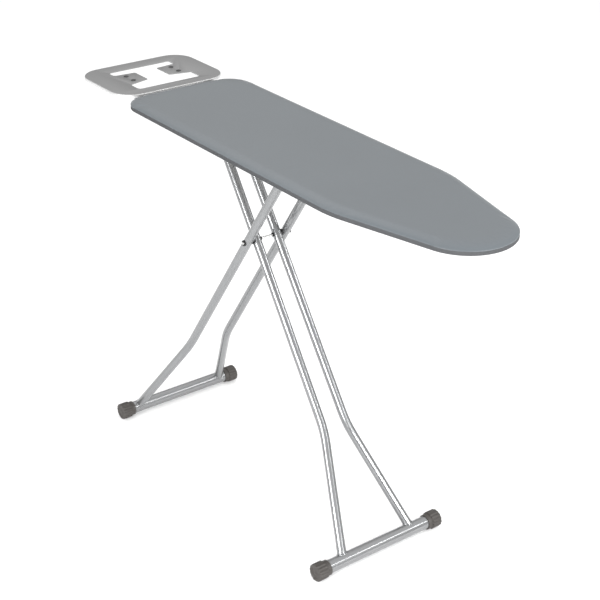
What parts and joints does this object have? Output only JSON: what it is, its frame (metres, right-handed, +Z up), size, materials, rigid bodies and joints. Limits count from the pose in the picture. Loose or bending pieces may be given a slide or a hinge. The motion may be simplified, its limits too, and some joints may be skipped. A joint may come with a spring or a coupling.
{
  "type": "ironing board",
  "caption": "Folding ironing board: padded fabric cover, pressed-steel iron rest at the back, crossed tubular leg frames on capped foot tubes, and a release lever below.",
  "frame": {"origin": "on the floor, under the middle of the whole object's box, with the legs open at full height", "axes": "+Z up, +X towards the nose of the board, +Y to the left of someone facing the nose"},
  "size_m": [1.3501, 0.361, 0.9015],
  "materials": {
    "cover": "plain woven cotton cover, mid grey",
    "pad": "needle felt underlay",
    "board_panel": "pressed and perforated steel sheet, silver-grey coating",
    "under_metal": "silver-grey coated steel",
    "rest_steel": "smooth satin grey coating on pressed steel",
    "leg_tube": "silver-grey powder coat on round steel tube",
    "foot_tube": "silver-grey powder coat on round steel tube",
    "foot_cap": "dark brown-grey moulded plastic, fine texture",
    "pivot_plastic": "black moulded plastic",
    "plated_steel": "zinc-plated steel rod and fasteners",
    "silicone": "black heat-proof silicone",
    "grip": "dark moulded plastic",
    "spring_wire": "spring steel wire"
  },
  "bodies": {
    "board": {"cover": "cover", "pad": "pad", "board_panel": "board_panel", "slide_rail_left": "under_metal", "slide_rail_right": "under_metal", "height_rack": "under_metal", "cross_stiffener_front": "under_metal", "cross_stiffener_rear": "under_metal", "hinge_bracket": "under_metal", "hinge_rod": "plated_steel", "hinge_rod_nuts": "plated_steel", "hinge_rivets": "plated_steel", "lever_bracket": "under_metal", "lever_pin": "plated_steel", "lever_spring": "spring_wire", "rest_plate": "rest_steel", "rest_arm_left": "under_metal", "rest_arm_right": "under_metal", "rest_bolts": "plated_steel", "rest_pads": "silicone"},
    "lever": {"release_lever": "under_metal", "lever_grip": "grip"},
    "inner_frame": {"inner_leg_left": "leg_tube", "inner_leg_right": "leg_tube", "inner_foot_tube": "foot_tube", "inner_foot_cap_left": "foot_cap", "inner_foot_cap_right": "foot_cap", "axle": "plated_steel", "axle_spacers": "pivot_plastic", "axle_collars": "pivot_plastic"},
    "outer_frame": {"outer_leg_left": "leg_tube", "outer_leg_right": "leg_tube", "outer_foot_tube": "foot_tube", "outer_foot_cap_left": "foot_cap", "outer_foot_cap_right": "foot_cap", "slide_rod": "plated_steel", "slide_rod_nuts": "plated_steel", "slide_glides": "pivot_plastic", "axle_saddles": "pivot_plastic"}
  },
  "joints": [
    {"name": "leg_fold", "type": "hinge", "parent": "board", "child": "inner_frame", "pos_m": [-0.25049, 0, 0.8775], "axis": [0, -1, 0], "range_deg": [0, 52.8]},
    {"name": "leg_cross", "type": "hinge", "parent": "inner_frame", "child": "outer_frame", "pos_m": [-0.0804, 0, 0.6373], "axis": [0, 1, 0], "range_deg": [0, 107.2]},
    {"name": "lever_press", "type": "hinge", "parent": "board", "child": "lever", "pos_m": [0.03, -0.0775, 0.8682], "axis": [0, 1, 0], "range_deg": [0, 6], "stiffness_Nm_per_rad": 3, "springref_deg": -6.88}
  ],
  "couplings": [
    {"joint": "leg_cross", "follows": "leg_fold", "ratio": 2.0299}
  ]
}
